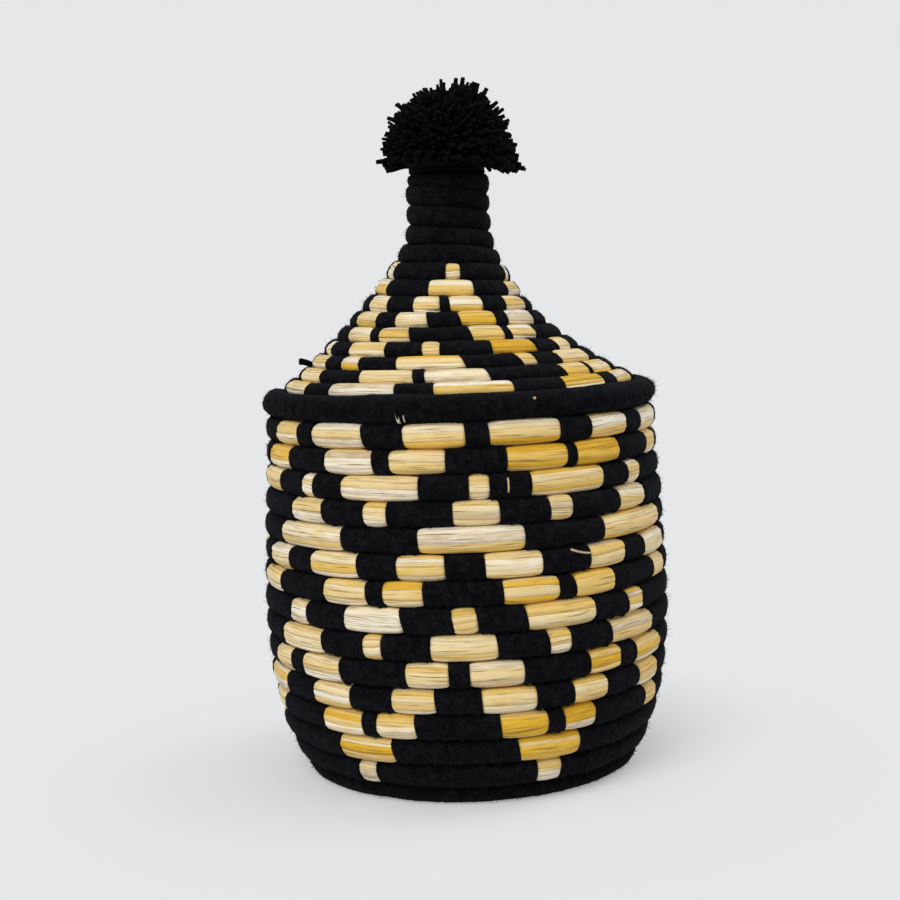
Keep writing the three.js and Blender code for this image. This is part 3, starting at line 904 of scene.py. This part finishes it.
def lid_station(turn):
    middle, along = lid_profile.course(lid_turn(np.minimum(turn, neck_turn)))
    tail = end_thickness(lid_profile, lid_turn, neck_turn, turn, lid_cord_height)
    thick = np.where(turn > neck_turn, tail, lid_cord_height)
    middle = middle + along * ((lid_cord_height - thick) / 2)[..., None]
    depth = lid_cord_depth * (1 + thick / lid_cord_height) / 2
    return middle, along, thick + course_gap + lid_turn_slack, depth


# Figure of the lid: stepped triangles, five times round, where the yarn is left off. Its bare
# stretches are given as for the wall, course by course from the rim up.
lid_repeats = 5
lid_strips = 8
lid_figure = [
    [(-81, -58.5, 0.4, 0.3), (-45, -20, 0.1, 0.15), (-7.5, 17.5, 0.3, 0.4), (35.5, 54, 0.45, 0.6),
     (62, 82, 0.45, 0.4)],
    [(-80, -57, 0.25, 0.3), (-35.5, -14.5, 0.15, 0.15), (-10.5, 11.5, 0.25, 0.3), (41, 55, 0.65, 0.6),
     (57, 76, 0.5, 0.4)],
    [(-85, -61, 0.3, 0.3), (-49.5, -39.5, 0.6, 0.45), (-22, 4.5, 0.6, 0.3), (27, 34.5, 0.55, 0.7),
     (47.5, 70, 0.4, 0.5)],
    [(-79, -67.5, 0.3, 0.3), (-51, -29, 0.5, 0.35), (-11.5, -3.5, 0.25, 0.2), (19.5, 41.5, 0.55, 0.95),
     (57, 69, 0.6, 0.6)],
    [(-62, -42, 0.1, 0.15), (-36.5, -19, 0.05, 0.15), (12, 30, 0.35, 0.4), (34, 50.5, 0.5, 0.4)],
    [(-67, -44.5, 0.25, 0.5), (-30, -10.5, 0.15, 0.5), (8.5, 30.5, 0.3, 0.55), (38.5, 61.5, 0.3, 0.4)],
    [(-66, -42.5, 0.15, 0.2), (-21.5, -3, 0.15, 0.25), (3.5, 26.5, 0.35, 0.6), (44.5, 68, 0.35, 0.5)],
    [(-84, -55, 0.4, 0.5), (-13, 23.5, 0.2, 0.75), (57, 88, 0.5, 0.6)],
    [(-80, -63.5, 0.3, 0.3), (-0.5, 13.5, 0.25, 0.2), (70, 84, 0.3, 0.3)],
]
lid_end = end_of(lid_profile, lid_turn, neck_turn, lid_cord_height)
lid_bars = whole_figure(lid_figure, lid_repeats, lid_end)
lid_wound = wound_stretches(0.0, lid_end, lid_bars)
halves = [(0, 5), (5, math.inf)]
for number, (low, high) in enumerate(halves):
    tubes = leaned([winding(lid_station, *s) for s in lid_wound if low <= s[0] < high])
    piece = build(f"lid_winding_{number + 1}", tubes, wound_wool, "lid")
    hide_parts("lid_coil")
tubes = sum((bare_straw(lid_station, *bar, strips=lid_strips) for bar in lid_bars), [])
build("lid_straw", leaned(tubes), dry_straw, "lid")
lid_fuzz = 14000
lid_long_hairs = 400
hairs = loose_hairs(lid_station, lid_wound, lid_fuzz)
hairs += loose_hairs(lid_station, lid_wound, lid_long_hairs, long_hair, long_hair_rings)
build("lid_loose_hairs", leaned(hairs), wound_wool, "lid")

# Rim of the lid: the thick start of its cord, wound all over. Over the back it grows from
# a thin end, under the course that climbs into the cone.
rim_middle, rim_along = lid_profile.course(np.array(0.0))
rim_start = 0.06
rim_squareness = 2.1


def rim_station(turn):
    above, _ = lid_profile.course(lid_turn(turn))
    room = np.linalg.norm(above - rim_middle, axis=-1) - lid_cord_height / 2 - course_gap + rim_cord / 2
    thick = np.where(turn < 0.5, np.minimum(rim_cord, room), rim_cord)
    middle = rim_middle + rim_along * ((thick - rim_cord) / 2)[..., None]
    along = rim_along * np.ones_like(middle)
    return middle, along, thick, rim_cord * (1 + thick / rim_cord) / 2


rim_tubes = leaned([winding(rim_station, rim_start, 1.0, rim_squareness)])
rim = build("lid_rim_winding", rim_tubes, wound_wool, "lid")
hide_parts("lid_rim_coil")
rim_facing = (-2.6, 0.1)  # the open side of the rim, which faces lower than the cone does
rim_wound = [(rim_start, 1.0)]
rim_fuzz = 6500
rim_long_hairs = 200
hairs = loose_hairs(rim_station, rim_wound, rim_fuzz, facing=rim_facing)
hairs += loose_hairs(rim_station, rim_wound, rim_long_hairs, long_hair, long_hair_rings, rim_facing)
build("rim_loose_hairs", leaned(hairs), wound_wool, "lid")

# Collar: a coil and a half of bare straw sewn with yarn, which drops into the mouth and
# keeps the lid in place. It hangs under the cone, clear of the wall all round.
collar_play = 2.5
collar_radius = mouth_middle[0] - cord_depth / 2 - collar_play - lid_cord_depth / 2
carrier, _ = lid_profile.course(np.array(1.0))
collar_reach = lid_cord_height / 2 + lid_cord_depth / 2 + seat_gap
collar_top = carrier[1] - math.sqrt(collar_reach**2 - (carrier[0] - collar_radius) ** 2)
collar_start = 0.5
collar_end = 2.0
collar_stitches = 54
stitch_share = 0.3
collar_ripeness = 0.3


def collar_station(turn):
    height = collar_top + (climbing(turn) - collar_end) * (lid_cord_height + course_gap)
    middle = np.stack([np.full_like(height, collar_radius), height], axis=-1)
    along = np.stack([np.zeros_like(height), np.ones_like(height)], axis=-1)
    return middle, along, np.full_like(height, lid_cord_height), np.full_like(height, lid_cord_depth)


steps = np.arange(collar_stitches + 1) * (collar_end - collar_start) / collar_stitches + collar_start
half_stitch = stitch_share * (steps[1] - steps[0]) / 2
stitches = [(max(t - half_stitch, collar_start), min(t + half_stitch, collar_end)) for t in steps]
tubes = [winding(collar_station, *stitch) for stitch in stitches]
build("collar_stitches", leaned(tubes), wound_wool, "lid")
tubes = []
for before, after in zip(steps[:-1], steps[1:]):
    ends = (before + half_stitch, after - half_stitch)
    tubes += bare_straw(collar_station, *ends, collar_ripeness, collar_ripeness, lid_strips)
collar = build("collar_straw", leaned(tubes), dry_straw, "lid")
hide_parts("lid_collar_coil")

# Tuft: a bundle of cut yarn, plugged into the neck. Its ends are cut blunt and stand out all
# round in uneven clumps, the right side hangs a little, and a few ends are longer.
tuft_foot = 303.5
tuft_middle = 1.0  # the tuft leans over the neck to the right
dome_middle = 303
dome_radius = 34.0
dome_height = 39.5
dome_depth = 5
tuft_droop = 3.2  # on the right
tuft_lift = 2.4  # on the left
tuft_rise = 9  # at the back
strands = 1250
strand_radius = 0.95
strand_sides = 6
strand_widths = np.array([1, 0.95, 1.0, 1.0, 1.1, 0.9])  # towards the cut end
strand_reach = (0.84, 1.03)  # least and most, as shares of the dome
strand_sizes = (0.8, 1.15)
nearly_up = [0.3, 0.2, 0.93]
strand_root = 0.45  # share of the way back to the root at which an end starts
strand_arch = 2.5
strand_bend = 0.8
tip_stray = 1.0
lowest_end = -0.25
clumps = 40
clump_size = (-0.01, 0.055)  # mean and spread, as shares of the dome
clump_tightness = 14
root_rise = 3
long_root = 0.55
long_bend = 0.6
long_thickness = 1.25
longest_ends = [  # the tips that stand out, listed one by one
    (4.0, -2, 345.5),
    (7.5, 1, 346),
    (13, -3, 343.2),
    (14.8, -2, 342.6),
    (19.2, 0, 340.2),
    (-37.5, -3, 305.5),
    (-32.5, -6, 300.5),
    (-33.5, -1, 302.8),
    (-30.5, -9, 303),
    (-31, 4, 301.5),
    (36.6, -4, 299.8),
    (-29, -4, 320),
]


def strand(start, bend, end, radius, sides=strand_sides):
    """A yarn end along a curve, slightly thicker where it is cut."""
    share = np.linspace(0, 1, len(strand_widths))[:, None]
    path = (1 - share) ** 2 * start + 2 * (1 - share) * share * bend + share**2 * end
    heading = np.gradient(path, axis=0)
    heading /= np.linalg.norm(heading, axis=1, keepdims=True)
    side = np.cross(heading, nearly_up)
    side /= np.linalg.norm(side, axis=1, keepdims=True)
    over = np.cross(heading, side)
    angle = np.linspace(0, 2 * np.pi, sides, endpoint=False)
    width = radius * strand_widths[:, None, None]
    spread = side[:, None] * np.cos(angle)[:, None] + over[:, None] * np.sin(angle)[:, None]
    rings = path[:, None] + width * spread
    return rings, share[:, 0] * np.linalg.norm(end - start), 0.0


rng = np.random.default_rng(5)
clump_middles = rng.normal(0, 1, (clumps, 3))
clump_middles /= np.linalg.norm(clump_middles, axis=1, keepdims=True)
clump_sizes = rng.normal(*clump_size, clumps)
tuft_root = np.array([-neck_lean / 2, 0, tuft_foot + root_rise])


def tuft_strand(azimuth, up_share):
    """An end that stands out of the tuft, as long as the clump that it belongs to."""
    level = math.sqrt(1 - up_share**2)
    out = np.array([math.cos(azimuth) * level, math.sin(azimuth) * level, up_share])
    clump = np.sum(clump_sizes * np.exp(clump_tightness * (clump_middles @ out - 1)))
    share = rng.uniform(*strand_reach) + clump
    depth = dome_height if up_share > 0 else dome_depth
    end = np.array([tuft_middle, 0, dome_middle]) + out * [dome_radius, dome_radius, depth] * share
    sideways = tuft_lift * max(0, -out[0]) - tuft_droop * max(0, out[0])
    end[2] += (tuft_rise * max(0, out[1]) + sideways) * level
    start = end + (tuft_root - end) * strand_root
    bend = (start + end) / 2 + np.array([0, 0, strand_arch * level]) + rng.normal(0, strand_bend, 3)
    tip = end + rng.normal(0, tip_stray, 3)
    return strand(start, bend, tip, strand_radius * rng.uniform(*strand_sizes))


golden_angle = math.pi * (3 - math.sqrt(5))
levels = [lowest_end + (1 - lowest_end) * (i + 0.5) / strands for i in range(strands)]
ends = [tuft_strand(i * golden_angle, level) for i, level in enumerate(levels)]
for tip in longest_ends:
    tip = np.array(tip, float)
    start = tuft_root + (tip - tuft_root) * long_root
    bend = (start + tip) / 2 + rng.normal(0, long_bend, 3)
    ends.append(strand(start, bend, tip, strand_radius * long_thickness))
cut_wool = make_wool("cut_black_wool", "#010102", "#060608", plies_across=6)
tuft = build("tuft_strands", ends, cut_wool, "lid")
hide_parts("tuft")

heart_share = 0.74  # of the dome, packed too tightly to show single ends
heart_drop = 1
bpy.ops.object.select_all(action="DESELECT")
bpy.ops.mesh.primitive_uv_sphere_add(segments=48, ring_count=24, radius=METRES, location=(0, 0, 0))
heart = bpy.context.object
heart.name = "tuft_heart"
heart.scale = (dome_radius * heart_share, dome_radius * heart_share, dome_height * heart_share)
heart.location = (tuft_middle * METRES, 0, dome_middle * METRES)
bpy.ops.object.transform_apply(location=True, rotation=True, scale=True)
floor_height = (tuft_foot - heart_drop) * METRES
for vertex in heart.data.vertices:
    vertex.co.z = max(vertex.co.z, floor_height)
bpy.ops.object.shade_smooth()
heart.data.materials.append(cut_wool)
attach(heart, "lid")
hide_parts("tuft")

# Tie: two turns of thick black yarn in two plies, which draw the tuft together where it
# leaves the top of the neck.
tie_turns = 2
tie_yarn = 2.6
tie_foot = tuft_foot - seat_gap - tie_turns * tie_yarn
tie_sides = 10
tie_steps = 120
tie_twist = 34  # turns of the two plies round each other, in the whole tie
tie_marks = 60  # how often the pattern of the yarn repeats in it
tie_bulge = 1.8
ply_depth = 0.08
share = np.linspace(0, 1, tie_steps)[:, None]
around = np.linspace(0, 2 * np.pi, tie_sides, endpoint=False)
twisted = np.cos(2 * (around - 2 * np.pi * tie_twist * share))
thick = tie_yarn / 2 * (1 - ply_depth + ply_depth * twisted)
radius = neck_radius + tie_bulge + thick * np.cos(around)
angle = 2 * np.pi * tie_turns * share
height = tie_foot + tie_yarn * (0.5 + (tie_turns - 1) * share) + thick * np.sin(around)
rings = np.stack([radius * np.cos(angle) - neck_lean, radius * np.sin(angle), height], axis=-1)
tie = build("tuft_tie_yarn", [(rings, share[:, 0] * tie_marks, 0.0)], cut_wool, "lid")
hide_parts("tuft_tie")

# Small marks of handwork: slivers of straw that show between two wraps, a broken straw that
# sticks out beside a bare stretch, and a cut end of yarn at the left of the lid.
sliver_points = 7
sliver_inside = 0.96  # shares of the cord's size, between which a sliver lies
sliver_outside = 1.13
sliver_marks = 6
broken_straw_course = 10
broken_straw = [(36, 1.5, 5.4), (31, 2.5, 7.2), (28, 5.0, 7.6)]  # degrees, up, out
broken_straw_radius = 0.5
yarn_end = [(-74.0, -3.0, 205.5), (-77.5, -4.0, 207.5), (-80.5, -4.0, 207.5)]
yarn_end_radius = 1.7


def sliver(station, turn, low, high, width, tone):
    """A straw that shows between two wraps, along the outside of the cord."""
    angle = np.linspace(low, high, sliver_points)
    middle, along, height, depth = station(np.full(sliver_points, turn))
    up_share, out_share = full_round(angle)
    side = np.array([-1, 1, 1, -1]) * width / 2 / (2 * np.pi * middle[:, :1])
    blunt = np.sin(np.linspace(0.5, math.pi - 0.5, sliver_points))[:, None] ** 0.1
    size = np.array([sliver_inside, sliver_inside, sliver_outside, sliver_outside]) / 2 * blunt
    up = up_share[:, None] * size * height[:, None]
    out = out_share[:, None] * size * depth[:, None]
    return place(turn + side, middle, along, up, out), angle * sliver_marks, tone


def on_wall(course, degrees, up, out):
    """A point beside the wall's cord, up and out from its middle."""
    turn = np.array([turn_of(course, degrees)])
    middle, along, _, _ = wall_station(turn)
    return place(turn, middle, along, np.array([[up]]), np.array([[out]]))[0, 0]


rim_slivers = [
    sliver(rim_station, turn_of(1, -16.9), -2.1, -1.2, 1.3, 0.22),
    sliver(rim_station, turn_of(1, -15.2), -1.9, -1.4, 0.5, 0.05),
    sliver(rim_station, turn_of(1, 20.2), -0.6, -0.4, 0.9, 0.0),
]
build("rim_straw_slivers", leaned(rim_slivers), dry_straw, "lid")
along_straw = [on_wall(broken_straw_course, *point) for point in broken_straw]
broken = strand(*along_straw, broken_straw_radius, sides=4)
wall_sliver = sliver(wall_station, turn_of(13, 11.9), -0.45, 0.5, 0.7, 0.0)
build("wall_straw_slivers", [broken, wall_sliver], dry_straw, "basket")
nub = strand(*(np.array(point) for point in yarn_end), yarn_end_radius)
build("lid_yarn_end", [nub], cut_wool, "lid")
